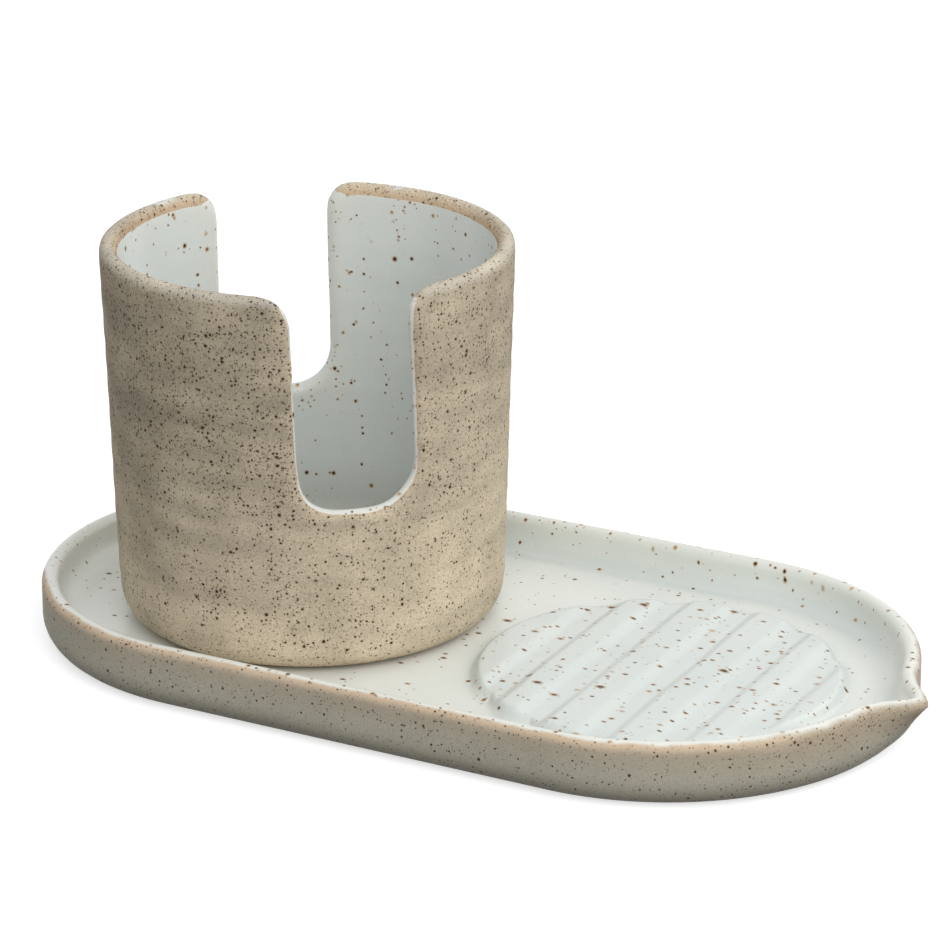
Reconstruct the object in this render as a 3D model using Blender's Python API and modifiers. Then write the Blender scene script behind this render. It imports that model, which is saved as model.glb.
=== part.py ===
"""Stoneware sink caddy: a slotted sponge cup that stands loose on a drip tray.

The tray is one pressed piece with a rolled rim, a ribbed round soap rest and a pulled pouring lip at +X.
The cup is one turned piece with two opposite U-shaped slots cut down from its rim and a drain hole.
Metres, +Z up. The origin is under the middle of the tray, pouring lip included, on the worktop.
"""

import math

import bmesh
import bpy
from mathutils import Vector

# Cup, with its heights counted from its own foot
CUP_RIM_RADIUS = 0.0575
CUP_FOOT_RADIUS = 0.0539
CUP_HEIGHT = 0.1086
CUP_WALL = 0.0050
CUP_FLOOR = 0.0058
CUP_HEEL = 0.0090
CUP_COVE = 0.0080
CUP_FOOT_RING = 0.0060
CUP_FOOT_RECESS = 0.0012
CUP_TURN = math.radians(-46)
DRAIN_RADIUS = 0.0060
DRAIN_EDGE = 0.0012

# Slots that the sponge stands in, one on each side of the cup
SLOT_WIDTH = 0.0320
SLOT_DEPTH = 0.0606
SLOT_CORNER = 0.0110
SLOT_MOUTH = 0.0080

# Tray
TRAY_HEIGHT = 0.0187
TRAY_WALL = 0.0050
TRAY_FLOOR = 0.0080
TRAY_HEEL = 0.0080
TRAY_COVE = 0.0060
TRAY_FOOT_RING = 0.0090
TRAY_FOOT_RECESS = 0.0015
FOOT_SLOPE = 0.0015

# Floor left free round the cup's foot, and the gap under it
CUP_SIDE_ROOM = 0.0116
CUP_END_ROOM = 0.0189
CUP_TO_REST = 0.0055
SEAT_GAP = 0.0003

# Pouring lip: how far it is pulled out and down at its tip, and the shape of the swelling
LIP_REACH = 0.0080
LIP_DIP = 0.0010
LIP_HALF_WIDTH = 0.0080
LIP_ROOT = 0.0020
LIP_SHARPNESS = 1.8
LIP_SWELL = 1.4

# Soap rest, with its heights counted from the tray's floor
REST_GUTTER = 0.0090
REST_DOME = 0.0045
REST_SHOULDER = 0.0065
REST_ROOT = 0.0020
RIB_PITCH = 0.01825
RIB_HEIGHT = 0.0032
GROOVE_HEIGHT = 0.0020
GROOVE_OFFSET = 0.0030

# Facets
ARC_STEPS = 4
ROLL_STEPS = 6
RIB_STEPS = 8
REST_SIDES = 72
SLOT_ARC_STEPS = 5
SLOT_SIDE_STEPS = 3
RIM_STEPS = 9
WALL_ROWS = 3
LIP_END_STEPS = 26
LIP_CROWDING = 1.6
PLAIN_END_STEPS = 20
SIDE_STEPS = 3

# Points nearer than this are one point
MERGE = 0.00001

# Sizes and places that follow from the values above
tray_half_width = CUP_FOOT_RADIUS + CUP_SIDE_ROOM + TRAY_WALL
tray_roll = TRAY_WALL / 2
tray_wall_top = TRAY_HEIGHT - tray_roll
rest_radius = tray_half_width - TRAY_WALL - TRAY_COVE - REST_GUTTER
cup_stand = CUP_END_ROOM + 2 * CUP_FOOT_RADIUS + CUP_TO_REST
rest_stand = 2 * rest_radius + REST_GUTTER + TRAY_COVE
tray_length = TRAY_WALL + cup_stand + rest_stand + TRAY_WALL
end_spacing = tray_length / 2 - tray_half_width
tray_x = -LIP_REACH / 2
rest_x = tray_x + end_spacing
cup_x = tray_x - tray_length / 2 + TRAY_WALL + CUP_END_ROOM + CUP_FOOT_RADIUS
cup_z = TRAY_FLOOR + SEAT_GAP


def clear_scene():
    """Empties the scene, so that the script can be run again."""
    for obj in list(bpy.data.objects):
        bpy.data.objects.remove(obj)


def make_collection(name):
    """A collection under the scene's own."""
    collection = bpy.data.collections.new(name)
    bpy.context.scene.collection.children.link(collection)
    return collection


def make_material(name, colour, roughness):
    """A plain Principled material of one colour."""
    material = bpy.data.materials.new(name)
    material.use_nodes = True
    shader = material.node_tree.nodes["Principled BSDF"]
    shader.inputs["Base Color"].default_value = (*colour, 1.0)
    shader.inputs["Roughness"].default_value = roughness
    shader.inputs["Metallic"].default_value = 0.0
    material.diffuse_color = (*colour, 1.0)
    return material


def add_object(name, mesh, collection):
    """An object that holds the mesh or curve, in the collection."""
    obj = bpy.data.objects.new(name, mesh)
    collection.objects.link(obj)
    return obj


def make_helper(obj):
    """Keeps a shape that only cuts or joins out of the render."""
    obj.hide_render = True
    obj.display_type = "WIRE"
    return obj


def add_mirror(obj, across_x, across_y):
    """Completes a piece that is open at its mirror planes."""
    mirror = obj.modifiers.new("other_side", "MIRROR")
    mirror.use_axis = (across_x, across_y, False)
    mirror.merge_threshold = MERGE


def add_boolean(obj, other, operation):
    """Joins another shape to the object, or keeps only what lies in it."""
    boolean = obj.modifiers.new(other.name, "BOOLEAN")
    boolean.operation = operation
    boolean.object = other


def add_screw(obj, sides):
    """Turns a profile at +X round the object's Z."""
    screw = obj.modifiers.new("turned", "SCREW")
    screw.steps = sides
    screw.render_steps = sides
    screw.use_merge_vertices = True
    screw.merge_threshold = MERGE


def finish_mesh(mesh, material):
    """Shades the mesh smooth, except at its real edges, and colours it."""
    mesh.shade_smooth()
    mesh.set_sharp_from_angle(angle=math.radians(40))
    mesh.materials.append(material)


def arc(centre, radii, start, end, steps):
    """Points along an arc of an ellipse, from one angle to the other in degrees, both ends included."""
    angles = [math.radians(start + (end - start) * i / steps) for i in range(steps + 1)]
    return [(centre[0] + radii[0] * math.cos(a), centre[1] + radii[1] * math.sin(a)) for a in angles]


def loft(name, rings, closed=False):
    """A skin through rings of equal count. Closed, it also joins the last ring to the first."""
    mesh = bmesh.new()
    rows = [[mesh.verts.new(point) for point in ring] for ring in rings]
    pairs = list(zip(rows, rows[1:]))
    if closed:
        pairs.append((rows[-1], rows[0]))
    for lower, upper in pairs:
        for i in range(len(lower) - 1):
            mesh.faces.new((lower[i], lower[i + 1], upper[i + 1], upper[i]))
    bmesh.ops.remove_doubles(mesh, verts=mesh.verts, dist=MERGE)
    data = bpy.data.meshes.new(name)
    mesh.to_mesh(data)
    mesh.free()
    return data


def cup_radius(height):
    """Outer radius of the cup's tapered wall at a height over its foot."""
    return CUP_FOOT_RADIUS + (CUP_RIM_RADIUS - CUP_FOOT_RADIUS) * height / CUP_HEIGHT


def cup_point(turn, radius, height):
    """A point of the cup. Turn 0 is the middle of a slot."""
    return Vector((radius * math.cos(turn), radius * math.sin(turn), height))


def slot_outline():
    """A quarter of the clay's upper edge, as (distance across the slot, height) and the way out of the clay.

    It runs along the slot's bottom, round its corner, up its side and round its mouth on to the rim.
    """
    half = SLOT_WIDTH / 2
    corner = min(SLOT_CORNER, half - MERGE)
    corner_centre = (half - corner, CUP_HEIGHT - SLOT_DEPTH + corner)
    mouth_centre = (half + SLOT_MOUTH, CUP_HEIGHT - SLOT_MOUTH)
    outline = [((0.0, corner_centre[1] - corner), (0.0, 1.0))]
    for x, z in arc(corner_centre, (corner, corner), -90, 0, SLOT_ARC_STEPS):
        outline.append(((x, z), ((corner_centre[0] - x) / corner, (corner_centre[1] - z) / corner)))
    for i in range(1, SLOT_SIDE_STEPS):
        z = corner_centre[1] + (mouth_centre[1] - corner_centre[1]) * i / SLOT_SIDE_STEPS
        outline.append(((half, z), (-1.0, 0.0)))
    for x, z in arc(mouth_centre, (SLOT_MOUTH, SLOT_MOUTH), 180, 90, SLOT_ARC_STEPS):
        outline.append(((x, z), ((x - mouth_centre[0]) / SLOT_MOUTH, (z - mouth_centre[1]) / SLOT_MOUTH)))
    return outline


def cup_edge(under, behind):
    """A quarter of the cup's upper edge as (turn, radius, height), down its slots and along its rim.

    The edge lies some way under the clay's outline and some way behind the cup's outer face.
    """
    edge = []
    for (across, height), outward in slot_outline():
        height -= outward[1] * under
        radius = cup_radius(height) - behind
        edge.append((math.asin((across - outward[0] * under) / radius), radius, height))
    turn, radius, height = edge[-1]
    for i in range(1, RIM_STEPS + 1):
        edge.append((turn + (math.pi / 2 - turn) * i / RIM_STEPS, radius, height))
    return edge


def level_rings(profile):
    """A quarter of the cup's level round rings, one for each (radius, height) of a profile."""
    last = len(slot_outline()) + RIM_STEPS - 1
    turns = [math.pi / 2 * i / last for i in range(last + 1)]
    return [[cup_point(turn, radius, height) for turn in turns] for radius, height in profile]


def wall_rings(base, under, behind):
    """Rings up one face of the cup's wall, whose level base grows into the slotted edge."""
    edge = cup_edge(under, behind)
    rings = []
    for row in range(1, WALL_ROWS + 1):
        share = row / WALL_ROWS
        ring = []
        for i, (turn, _, height) in enumerate(edge):
            level_turn = math.pi / 2 * i / (len(edge) - 1)
            turned = level_turn + (turn - level_turn) * share
            level = base + (height - base) * share
            ring.append(cup_point(turned, cup_radius(level) - behind, level))
        rings.append(ring)
    return rings


def rim_rings(roll):
    """Rings over the rolled edge, from the cup's outer face to its inner one."""
    rings = []
    for i in range(1, ROLL_STEPS):
        turn = math.pi * i / ROLL_STEPS
        edge = cup_edge(roll * (1 - math.sin(turn)), roll * (1 - math.cos(turn)))
        rings.append([cup_point(*point) for point in edge])
    return rings


def cup_rings():
    """Every ring of a quarter of the cup, from its drain hole, under its foot, over the edge and back."""
    roll = CUP_WALL / 2
    heel_radius = cup_radius(CUP_HEEL) - CUP_HEEL
    foot_inner = heel_radius - CUP_FOOT_RING
    base = CUP_FLOOR + CUP_COVE
    cove_radius = cup_radius(base) - CUP_WALL - CUP_COVE
    drain_mouth = DRAIN_RADIUS + DRAIN_EDGE
    drain_edge = (DRAIN_EDGE, DRAIN_EDGE)
    underside = arc((drain_mouth, CUP_FOOT_RECESS + DRAIN_EDGE), drain_edge, 180, 270, 2)
    underside += [(foot_inner - FOOT_SLOPE, CUP_FOOT_RECESS), (foot_inner, 0.0)]
    underside += arc((heel_radius, CUP_HEEL), (CUP_HEEL, CUP_HEEL), -90, 0, ARC_STEPS)
    floor = arc((cove_radius, base), (CUP_COVE, CUP_COVE), 0, -90, ARC_STEPS)
    floor += arc((drain_mouth, CUP_FLOOR - DRAIN_EDGE), drain_edge, 90, 180, 2)
    outside = wall_rings(CUP_HEEL, roll, 0.0)
    inside = wall_rings(base, roll, CUP_WALL)
    inside.reverse()
    return level_rings(underside) + outside + rim_rings(roll) + inside + level_rings(floor)


def build_cup(collection, material):
    """The slotted cup, turned so that its slots face the tray's near and far corners.

    No modifier rolls one edge along the rim, down a slot and up again, so the wall is a loft
    from its level round base to that edge. A quarter of it is made, and mirrored twice.
    """
    mesh = loft("sponge_cup", cup_rings(), closed=True)
    finish_mesh(mesh, material)
    cup = add_object("sponge_cup", mesh, collection)
    cup.location = (cup_x, 0.0, cup_z)
    cup.rotation_euler = (0.0, 0.0, CUP_TURN)
    add_mirror(cup, True, True)
    return cup


def lip_share(across):
    """How much of the pouring lip's reach is left at a distance from its middle."""
    return math.exp(-((across / LIP_HALF_WIDTH) ** LIP_SHARPNESS))


def lip_rise(height, root):
    """How far out the pouring lip has come at a height, from 0 at its root to 1 at the top of the wall."""
    share = (height - root) / (tray_wall_top - root)
    return min(max(share, 0.0), 1.0) ** LIP_SWELL


def tray_ring(inset, height, root):
    """Half of the tray's outline, some way inside its outer face, from the pouring lip to the other end."""
    radius = tray_half_width - inset
    rise = lip_rise(height, root)
    ring = []
    for i in range(LIP_END_STEPS + 1):
        turn = math.pi / 2 * (i / LIP_END_STEPS) ** LIP_CROWDING
        across = radius * math.sin(turn)
        pull = rise * lip_share(across)
        x = end_spacing + radius * math.cos(turn) + LIP_REACH * pull
        ring.append(Vector((x, across, height - LIP_DIP * pull)))
    for i in range(1, SIDE_STEPS):
        ring.append(Vector((end_spacing * (1 - 2 * i / SIDE_STEPS), radius, height)))
    for i in range(PLAIN_END_STEPS + 1):
        turn = math.pi / 2 * (1 + i / PLAIN_END_STEPS)
        ring.append(Vector((-end_spacing + radius * math.cos(turn), radius * math.sin(turn), height)))
    return ring


def spine(ring):
    """The ring drawn in to the tray's middle line, which closes a level face."""
    return [Vector((point.x, 0.0, point.z)) for point in ring]


def tray_rings():
    """Every ring of half the tray, from the middle of its underside, over the rim, to its floor's middle.

    Outside, the pouring lip swells from near the foot. Inside, it starts at the floor.
    """
    heel = min(TRAY_HEEL, tray_wall_top)
    cove = min(TRAY_COVE, tray_wall_top - TRAY_FLOOR)
    foot_inner = heel + TRAY_FOOT_RING
    quarter_roll = ROLL_STEPS // 2
    outside = [(foot_inner + FOOT_SLOPE, TRAY_FOOT_RECESS), (foot_inner, 0.0)]
    outside += arc((heel, heel), (-heel, heel), -90, 0, ARC_STEPS)
    outside += [(0.0, (heel + tray_wall_top) / 2)]
    outside += arc((tray_roll, tray_wall_top), (-tray_roll, tray_roll), 0, 90, quarter_roll)
    inside = arc((tray_roll, tray_wall_top), (-tray_roll, tray_roll), 90, 180, quarter_roll)[1:]
    inside += arc((TRAY_WALL + cove, TRAY_FLOOR + cove), (cove, cove), 180, 270, ARC_STEPS)
    rings = [tray_ring(inset, height, LIP_ROOT) for inset, height in outside]
    rings += [tray_ring(inset, height, TRAY_FLOOR) for inset, height in inside]
    return [spine(rings[0])] + rings + [spine(rings[-1])]


def rib_profile(reach):
    """The ribs in section: shallow arcs side by side, with a narrow groove where two meet, on a flat base."""
    sag = RIB_HEIGHT - GROOVE_HEIGHT
    radius = ((RIB_PITCH / 2) ** 2 + sag**2) / (2 * sag)
    sweep = math.degrees(math.asin(RIB_PITCH / 2 / radius))
    first = math.floor((-reach - GROOVE_OFFSET) / RIB_PITCH)
    last = math.ceil((reach - GROOVE_OFFSET) / RIB_PITCH)
    top = [(GROOVE_OFFSET + first * RIB_PITCH, GROOVE_HEIGHT)]
    for groove in range(first, last):
        crest = GROOVE_OFFSET + (groove + 0.5) * RIB_PITCH
        top += arc((crest, RIB_HEIGHT - radius), (radius, radius), 90 + sweep, 90 - sweep, RIB_STEPS)[1:]
    return [(top[0][0], -REST_ROOT)] + top + [(top[-1][0], -REST_ROOT)]


def curve_to_mesh(drawn, name, collection):
    """A mesh object in the place of a curve object, with its caps welded on."""
    bpy.context.view_layer.update()
    evaluated = drawn.evaluated_get(bpy.context.evaluated_depsgraph_get())
    data = bpy.data.meshes.new_from_object(evaluated)
    mesh = bmesh.new()
    mesh.from_mesh(data)
    bmesh.ops.remove_doubles(mesh, verts=mesh.verts, dist=MERGE)
    bmesh.ops.recalc_face_normals(mesh, faces=mesh.faces)
    mesh.to_mesh(data)
    mesh.free()
    obj = add_object(name, data, collection)
    obj.matrix_world = drawn.matrix_world
    bpy.data.objects.remove(drawn)
    return obj


def rib_bar(cutters):
    """The row of ribs, drawn out along Y past the soap rest on every side."""
    outline = rib_profile(rest_radius)
    curve = bpy.data.curves.new("rib_profile", "CURVE")
    curve.dimensions = "2D"
    curve.fill_mode = "BOTH"
    curve.extrude = rest_radius + REST_SHOULDER
    spline = curve.splines.new("POLY")
    spline.points.add(len(outline) - 1)
    for point, (x, z) in zip(spline.points, outline):
        point.co = (x, z, 0.0, 1.0)
    spline.use_cyclic_u = True
    drawn = add_object("rib_profile", curve, cutters)
    drawn.location = (rest_x, 0.0, TRAY_FLOOR)
    drawn.rotation_euler = (math.radians(90), 0.0, 0.0)
    return make_helper(curve_to_mesh(drawn, "rib_bar", cutters))


def rest_dome(cutters):
    """A low round dome with a soft shoulder, which trims the row of ribs to a disc."""
    profile = [(0.0, REST_DOME)]
    profile += arc((rest_radius - REST_SHOULDER, 0.0), (REST_SHOULDER, REST_DOME), 90, 0, 2 * ARC_STEPS)
    profile += [(rest_radius, -2 * REST_ROOT), (0.0, -2 * REST_ROOT)]
    edges = [(i, i + 1) for i in range(len(profile) - 1)]
    data = bpy.data.meshes.new("rest_dome")
    data.from_pydata([(x, 0.0, z) for x, z in profile], edges, [])
    dome = add_object("rest_dome", data, cutters)
    dome.location = (rest_x, 0.0, TRAY_FLOOR)
    add_screw(dome, REST_SIDES)
    return make_helper(dome)


def build_tray(collection, cutters, material):
    """The tray: a loft from its round-ended foot to the rim with the pouring lip, and the soap rest on it."""
    mesh = loft("drip_tray", tray_rings())
    finish_mesh(mesh, material)
    tray = add_object("drip_tray", mesh, collection)
    tray.location = (tray_x, 0.0, 0.0)
    add_mirror(tray, False, True)
    ribs = rib_bar(cutters)
    add_boolean(ribs, rest_dome(cutters), "INTERSECT")
    add_boolean(tray, ribs, "UNION")
    return tray


def main():
    """Builds the caddy."""
    clear_scene()
    parts = make_collection("sink_caddy")
    cutters = make_collection("cutters")
    white_glaze = make_material("speckled_white_glaze", (0.70, 0.72, 0.70), 0.35)
    bare_clay = make_material("speckled_bare_stoneware", (0.42, 0.35, 0.27), 0.85)
    build_tray(parts, cutters, white_glaze)
    build_cup(parts, bare_clay)


main()
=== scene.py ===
"""Looks of a stoneware sink caddy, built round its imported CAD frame.

A thrown sponge cup, bare outside and glazed inside, stands on a glazed drip tray with a ribbed soap rest
and a pulled pouring lip. Both pieces are remade here finer than the frame's solids, with the small
unevenness of hand work, and replace them. Metres, +Z up, in the frame's own axes.
"""

import logging
import math
from collections.abc import Callable, Iterator
from contextlib import contextmanager
from dataclasses import dataclass, field
from enum import Enum

import bmesh
import bpy
import numpy as np
from mathutils import Matrix, Vector, noise


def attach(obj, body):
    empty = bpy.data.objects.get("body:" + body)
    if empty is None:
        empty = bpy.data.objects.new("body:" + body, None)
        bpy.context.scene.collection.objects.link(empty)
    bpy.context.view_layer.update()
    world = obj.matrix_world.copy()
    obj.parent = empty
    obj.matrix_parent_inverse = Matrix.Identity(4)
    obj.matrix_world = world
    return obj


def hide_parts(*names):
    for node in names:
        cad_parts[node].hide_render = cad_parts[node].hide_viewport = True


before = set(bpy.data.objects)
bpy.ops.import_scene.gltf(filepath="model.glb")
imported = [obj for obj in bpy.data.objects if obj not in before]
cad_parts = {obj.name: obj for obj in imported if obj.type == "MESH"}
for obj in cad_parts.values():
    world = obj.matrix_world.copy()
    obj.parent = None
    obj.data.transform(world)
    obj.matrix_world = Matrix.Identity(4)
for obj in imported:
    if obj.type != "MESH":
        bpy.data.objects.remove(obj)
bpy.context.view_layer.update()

LOG = logging.getLogger("sink_caddy")
MM = 0.001

# Points nearer than this are one point
WELD = 0.001 * MM

# Inputs of a Mix node go by number, because its colours and its plain numbers have the same names
SHARE, BASE, COAT = 0, 6, 7
BASE_NUMBER, COAT_NUMBER = 2, 3

Feed = bpy.types.Node | bpy.types.NodeSocket
Pair = tuple[float, float]


class Body(Enum):
    """The frame's bodies, which the pieces ride on."""

    TRAY = "tray"
    CUP = "cup"


class Node(Enum):
    """The frame's solids, which the pieces stand for."""

    TRAY = "drip_tray"
    CUP = "sponge_cup"


class Slot(Enum):
    """The record's material slots."""

    GLAZED = "glazed_stoneware"
    BARE = "bare_stoneware"


class Mark(Enum):
    """What a vertex attribute tells the materials about the place of a point on its piece."""

    GLAZE_RUN = "glaze_run"
    THIN_GLAZE = "thin_glaze"
    REST_GLAZE = "rest_glaze"
    # Thick glaze, and the painted shade in the tray's far cove
    POOLED_GLAZE_AND_SHADE = "pooled_glaze"
    FLUSH = "flush"
    # Crowded grit, and the painted shade under the tray's lip
    CROWDED_AND_SHADED = "crowded"
    VEIL = "veil"


class Part(Enum):
    """What is picked of a mesh."""

    FACE = "FACE"
    EDGE = "EDGE"


def linear(colour: str) -> tuple[float, float, float, float]:
    """Turns an sRGB hex colour to the linear one that Blender works in.

    Args:
        colour: Six hex digits after a hash sign.

    Returns:
        Red, green, blue and full alpha.
    """
    channels = [int(colour[i : i + 2], 16) / 255 for i in (1, 3, 5)]
    lit = [c / 12.92 if c <= 0.04045 else ((c + 0.055) / 1.055) ** 2.4 for c in channels]
    return (*lit, 1.0)


def smooth_step(values: np.ndarray, start: float, end: float) -> np.ndarray:
    """Goes smoothly from 0 at the start value to 1 at the end value, which may be the lower one."""
    share = np.clip((values - start) / (end - start), 0.0, 1.0)
    return share * share * (3 - 2 * share)


def bell(values: np.ndarray, width: float) -> np.ndarray:
    """Falls off softly from 1 where the values are 0, to a third at the width on either side."""
    return np.exp(-((values / width) ** 2))


def waver(points: np.ndarray, grain: float, seed: float) -> np.ndarray:
    """Reads soft noise, the same in every run, at some points.

    Args:
        points: Places, one row each, in metres.
        grain: Size of the noise's swells, in metres.
        seed: A shift that gives each use its own noise.

    Returns:
        One value from about -1 to 1 for each point.
    """
    shift = Vector((seed, 2 * seed, -seed))
    return np.array([noise.noise(Vector(point) / grain + shift) for point in points])


def read_points(piece: bpy.types.Object) -> np.ndarray:
    """Reads the places of a piece's vertices.

    Args:
        piece: The piece.

    Returns:
        The places, one row each.
    """
    flat = np.empty(3 * len(piece.data.vertices))
    piece.data.vertices.foreach_get("co", flat)
    return flat.reshape(-1, 3)


def move_points(piece: bpy.types.Object, points: np.ndarray) -> None:
    """Gives a piece's vertices their new places."""
    piece.data.vertices.foreach_set("co", points.ravel())
    piece.data.update()


def write_mark(piece: bpy.types.Object, mark: Mark, values: np.ndarray) -> None:
    """Keeps a value for each vertex, which the materials read by the mark's name."""
    layer = piece.data.attributes.new(mark.value, "FLOAT", "POINT")
    layer.data.foreach_set("value", np.asarray(values, dtype=np.float32))


def hold(piece: bpy.types.Object) -> None:
    """Makes a piece the only selected and active object.

    Args:
        piece: The piece.
    """
    bpy.ops.object.select_all(action="DESELECT")
    bpy.context.view_layer.objects.active = piece
    piece.select_set(True)


@contextmanager
def editing(piece: bpy.types.Object) -> Iterator[None]:
    """Opens a piece in edit mode with nothing of it selected, and closes it after the block.

    Args:
        piece: The piece.
    """
    hold(piece)
    bpy.ops.object.mode_set(mode="EDIT")
    bpy.ops.mesh.select_all(action="DESELECT")
    yield
    bpy.ops.object.mode_set(mode="OBJECT")


def pick(
    piece: bpy.types.Object, part: Part, wanted: Callable[[bmesh.types.BMFace | bmesh.types.BMEdge], bool]
) -> None:
    """Selects the faces or edges that a test wants, on a piece that is being edited.

    Args:
        piece: The piece.
        part: Whether faces or edges are picked.
        wanted: The test.
    """
    bpy.ops.mesh.select_mode(type=part.value)
    shape = bmesh.from_edit_mesh(piece.data)
    for found in shape.faces if part is Part.FACE else shape.edges:
        found.select_set(wanted(found))
    bmesh.update_edit_mesh(piece.data, loop_triangles=False, destructive=False)


def apply_modifier(piece: bpy.types.Object, kind: str, settings: dict[str, object]) -> None:
    """Adds one modifier to a piece and applies it at once.

    Args:
        piece: The object to change.
        kind: The modifier's type, such as SUBSURF.
        settings: Its properties by name.
    """
    hold(piece)
    modifier = piece.modifiers.new(kind.lower(), kind)
    for name, value in settings.items():
        setattr(modifier, name, value)
    bpy.ops.object.modifier_apply(modifier=modifier.name)


def line(start: Pair, end: Pair, steps: int) -> list[Pair]:
    """Even points from a start, which is left out, to an end."""
    shares = [i / steps for i in range(1, steps + 1)]
    return [tuple(a + (b - a) * share for a, b in zip(start, end)) for share in shares]


def arc(centre: Pair, radii: Pair, start: float, end: float, steps: int) -> list[Pair]:
    """Points along an arc, its start left out.

    Args:
        centre: The middle of the arc.
        radii: Its reach along either axis, negative to flip that axis.
        start: First angle in degrees.
        end: Last angle in degrees.
        steps: How many points.

    Returns:
        The points, in order.
    """
    angles = [math.radians(start + (end - start) * i / steps) for i in range(1, steps + 1)]
    return [(centre[0] + radii[0] * math.cos(a), centre[1] + radii[1] * math.sin(a)) for a in angles]


@dataclass
class Recipe:
    """A node tree while it is written."""

    tree: bpy.types.NodeTree

    def __post_init__(self) -> None:
        """Starts with an empty tree."""
        self.tree.nodes.clear()

    def add(
        self,
        kind: str,
        settings: dict[str | int, object] | None = None,
        links: dict[str | int, Feed] | None = None,
    ) -> bpy.types.Node:
        """Adds a node.

        Args:
            kind: The node's type, without its ShaderNode prefix.
            settings: Its properties, and its inputs by name or number, with their values.
            links: What feeds its inputs, by name or number. A node stands for its first output in use.

        Returns:
            The new node.
        """
        node = self.tree.nodes.new("ShaderNode" + kind)
        for name, value in (settings or {}).items():
            if isinstance(name, str) and hasattr(node, name):
                setattr(node, name, value)
            else:
                node.inputs[name].default_value = value
        for name, feed in (links or {}).items():
            if isinstance(feed, bpy.types.Node):
                feed = next(output for output in feed.outputs if output.enabled)
            self.tree.links.new(feed, node.inputs[name])
        return node


def new_material(name: str) -> tuple[bpy.types.Material, Recipe]:
    """Makes a material.

    Args:
        name: Its name.

    Returns:
        The material, and the empty recipe that it is written with.
    """
    material = bpy.data.materials.new(name)
    material.use_nodes = True
    return material, Recipe(material.node_tree)


@dataclass(frozen=True)
class IronSpecks:
    """Specks of iron in the clay, which burn out dark and bleed through a glaze.

    The sizes are radii. A cell of the pattern holds one speck or none, so its size sets how dense they are.
    The share shows where the mark, or else a soft pattern of patches, is 1, and a spare part of it elsewhere.
    A speck is solid as far as a part of its radius, and fades out at its edge. Its bleeding reaches further.
    """

    cell: float
    least: float
    most: float
    share: float
    spare: float = 0.6
    mark: Mark | None = None
    stretch: tuple[float, float, float] = (1.0, 1.0, 1.0)
    shift: float = 0.0
    strength: float = 1.0
    solid: float = 0.7
    edge: float = 1.0
    bleeding: float = 1.9

    def scatter(self, recipe: Recipe, place: Feed, patches: Feed) -> tuple[Feed, Feed]:
        """Adds one size of specks.

        Args:
            recipe: The material's tree.
            place: Object coordinates, already a little ruffled so that no speck is a true circle.
            patches: From 0 to 1, how crowded the specks are there.

        Returns:
            The specks' dark cores and their wider, paler bleeding, each from 0 to their strength.
        """
        crowding = patches
        if self.mark is not None:
            crowding = recipe.add("Attribute", {"attribute_name": self.mark.value}).outputs["Fac"]
        drawn = recipe.add(
            "Mapping", {"Location": (self.shift,) * 3, "Scale": self.stretch}, {"Vector": place}
        )
        cells = recipe.add("TexVoronoi", {"Scale": 1 / self.cell}, {"Vector": drawn})
        chance = recipe.add("SeparateColor", links={0: cells.outputs["Color"]})
        limit = recipe.add(
            "MapRange", {"To Min": self.spare * self.share, "To Max": self.share}, {"Value": crowding}
        )
        present = recipe.add("Math", {"operation": "LESS_THAN"}, {0: chance.outputs[1], 1: limit})
        # Squaring the chance leaves many small specks and few large ones, as sieved grit has
        skewed = recipe.add("Math", {"operation": "POWER", 1: 2.0}, {0: chance.outputs[0]})
        radii = {"To Min": self.least / self.cell, "To Max": self.most / self.cell}
        radius = recipe.add("MapRange", radii, {"Value": skewed})
        reach = recipe.add("Math", {"operation": "DIVIDE"}, {0: cells.outputs["Distance"], 1: radius})
        found = []
        for end in (self.edge, self.bleeding):
            fade = {"interpolation_type": "SMOOTHSTEP", "From Min": end, "From Max": self.solid}
            soft = recipe.add("MapRange", {**fade, "To Max": self.strength}, {"Value": reach})
            found.append(recipe.add("Math", {"operation": "MULTIPLY"}, {0: soft, 1: present}))
        return found[0], found[1]


@dataclass(frozen=True)
class IronBearing:
    """What the clay and the glaze have in common: iron specks, each a dark core in a tinged ring."""

    halo: str = "#A8741C"
    core: str = "#2C1A0C"
    tinge: float = 0.85
    burn: float = 1.0
    layers: tuple[IronSpecks, ...] = ()

    def speckle(self, recipe: Recipe, place: Feed, patches: Feed, colour: Feed) -> tuple[Feed, Feed]:
        """Lays every size of specks over a colour.

        Args:
            recipe: The material's tree.
            place: Ruffled object coordinates.
            patches: From 0 to 1, how crowded the specks are there.
            colour: The colour without specks.

        Returns:
            The colour with them, and where their cores are.
        """
        specks = None
        for layer in self.layers:
            core, bleeding = layer.scatter(recipe, place, patches)
            for shade, strength, ring in ((self.halo, self.tinge, bleeding), (self.core, self.burn, core)):
                share = recipe.add("Math", {"operation": "MULTIPLY", 1: strength}, {0: ring})
                over = {"data_type": "RGBA", COAT: linear(shade)}
                colour = recipe.add("Mix", over, {SHARE: share, BASE: colour})
            if specks is None:
                specks = core
            else:
                specks = recipe.add("Math", {"operation": "MAXIMUM"}, {0: specks, 1: core})
        return colour, specks


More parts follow.
